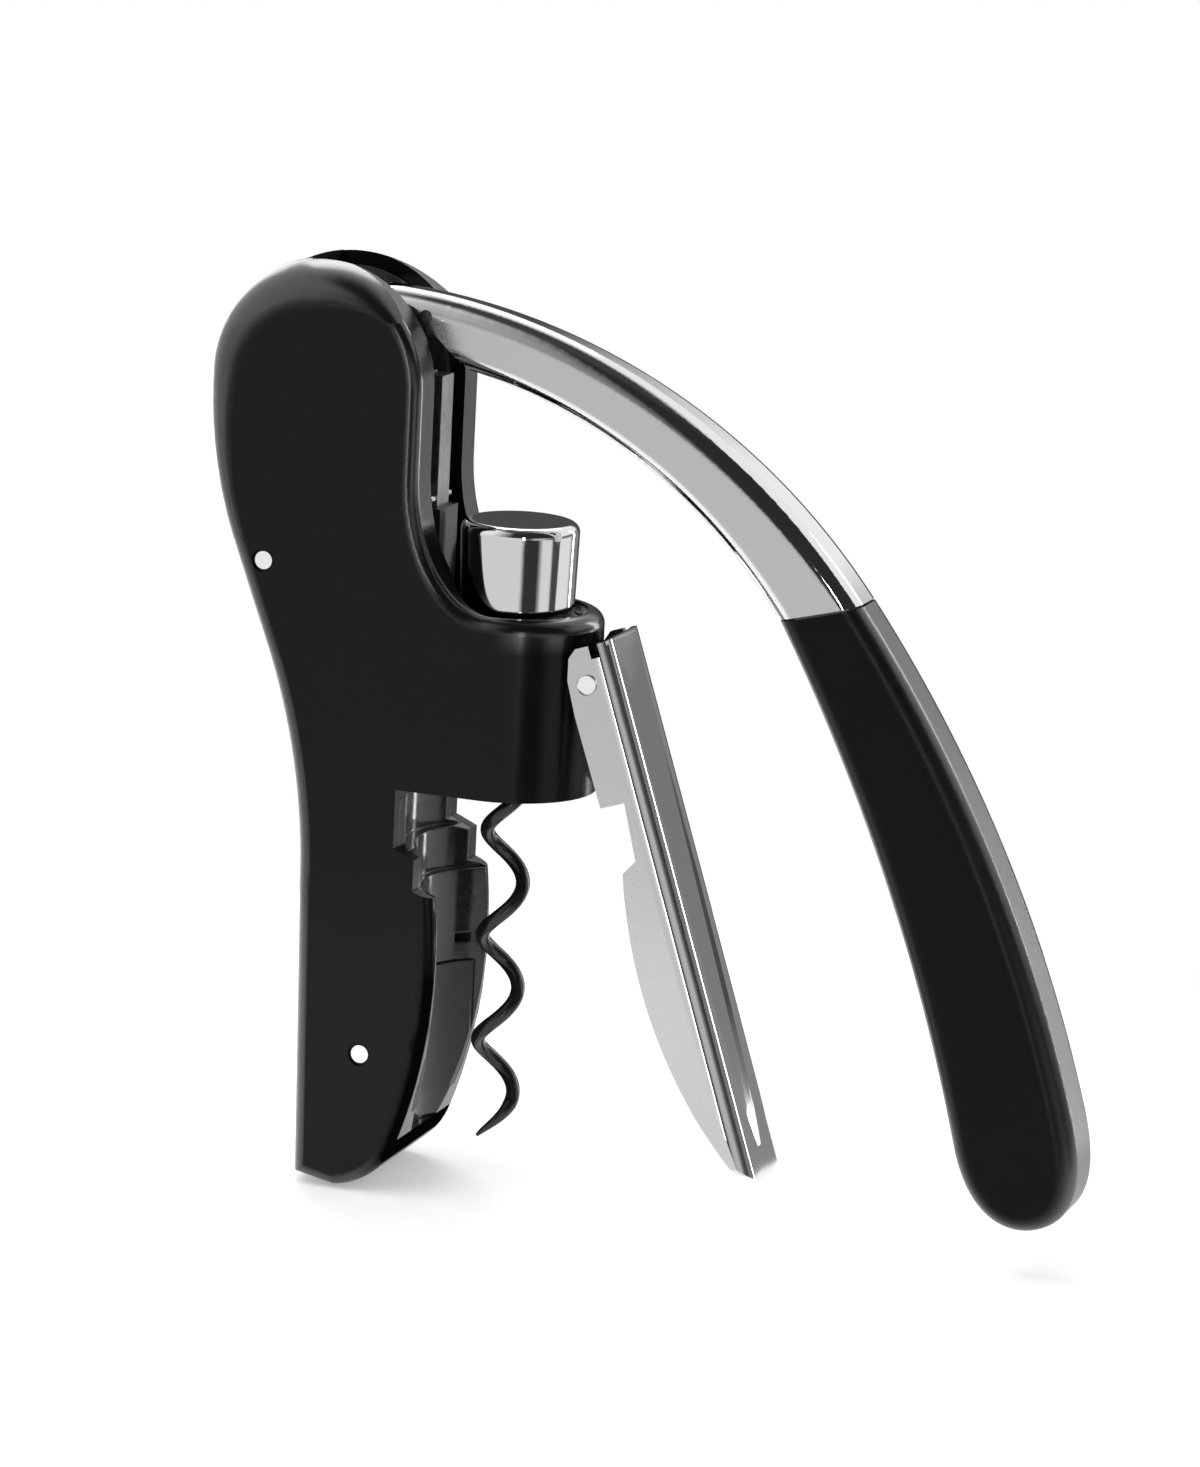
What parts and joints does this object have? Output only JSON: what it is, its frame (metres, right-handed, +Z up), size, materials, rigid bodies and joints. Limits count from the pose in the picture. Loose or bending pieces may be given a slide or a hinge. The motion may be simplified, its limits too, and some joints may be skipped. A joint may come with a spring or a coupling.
{
  "type": "lever corkscrew",
  "caption": "Hand lever corkscrew: black two-part body with bottle collar and neck cradle, curved lever driving a rack-lifted turning worm, and a sprung neck clamp.",
  "frame": {"origin": "on the worm axis at the collar's underside, where the bottle's lip seats", "axes": "+Z up the worm axis, +X to the front where the lever and clamp are, Y across the body"},
  "size_m": [0.1697, 0.032, 0.1694],
  "materials": {
    "black_body_paint": "satin black paint",
    "black_grip_plastic": "satin",
    "polished_chrome": "polished plating",
    "plate_steel": "plain mill steel",
    "bright_pin_steel": "bright drawn",
    "nut_plastic": "moulded",
    "dark_gloss_plastic": "gloss moulded",
    "black_rubber": "moulded",
    "black_worm_coating": "non-stick coating"
  },
  "bodies": {
    "body": {"left_shell": "black_body_paint", "right_shell": "black_body_paint", "left_plate": "plate_steel", "right_plate": "plate_steel", "upper_pin": "bright_pin_steel", "lower_pin": "bright_pin_steel", "pin_spacer": "plate_steel", "lever_axle": "bright_pin_steel", "axle_washers": "plate_steel", "guide_sleeve": "polished_chrome", "worm_nut": "nut_plastic", "nut_ring": "plate_steel", "neck_cradle": "dark_gloss_plastic", "neck_pad": "black_rubber", "clamp_pin": "bright_pin_steel", "clamp_spring": "plate_steel"},
    "lever": {"lever_quadrant": "plate_steel", "lever_arm": "polished_chrome", "arm_rivets": "plate_steel", "lever_grip": "black_grip_plastic"},
    "carrier": {"carrier": "plate_steel", "carrier_cap": "polished_chrome", "rack": "bright_pin_steel", "rack_pin": "bright_pin_steel", "thrust_washer": "plate_steel"},
    "worm": {"worm": "black_worm_coating", "worm_shank": "plate_steel", "worm_head": "plate_steel"},
    "clamp": {"clamp_lever": "polished_chrome", "clamp_pad": "black_rubber"}
  },
  "joints": [
    {"name": "lever_pivot", "type": "hinge", "parent": "body", "child": "lever", "pos_m": [-0.0425, 0, 0.07], "axis": [0, -1, 0], "range_deg": [0, 94]},
    {"name": "carrier_slide", "type": "slide", "parent": "body", "child": "carrier", "axis": [0, 0, 1], "range_m": [0, 0.0357]},
    {"name": "worm_spin", "type": "hinge", "parent": "carrier", "child": "worm", "pos_m": [0, 0, 0.02], "axis": [0, 0, 1], "range_deg": [0, 649]},
    {"name": "clamp_pivot", "type": "hinge", "parent": "body", "child": "clamp", "pos_m": [0.0176, 0, 0.0222], "axis": [0, 1, 0], "range_deg": [0, 15], "stiffness_Nm_per_rad": 0.15, "springref_deg": -20.05}
  ],
  "couplings": [
    {"joint": "carrier_slide", "follows": "lever_pivot", "m_per_rad": 0.02175},
    {"joint": "worm_spin", "follows": "lever_pivot", "ratio": 6.902}
  ]
}
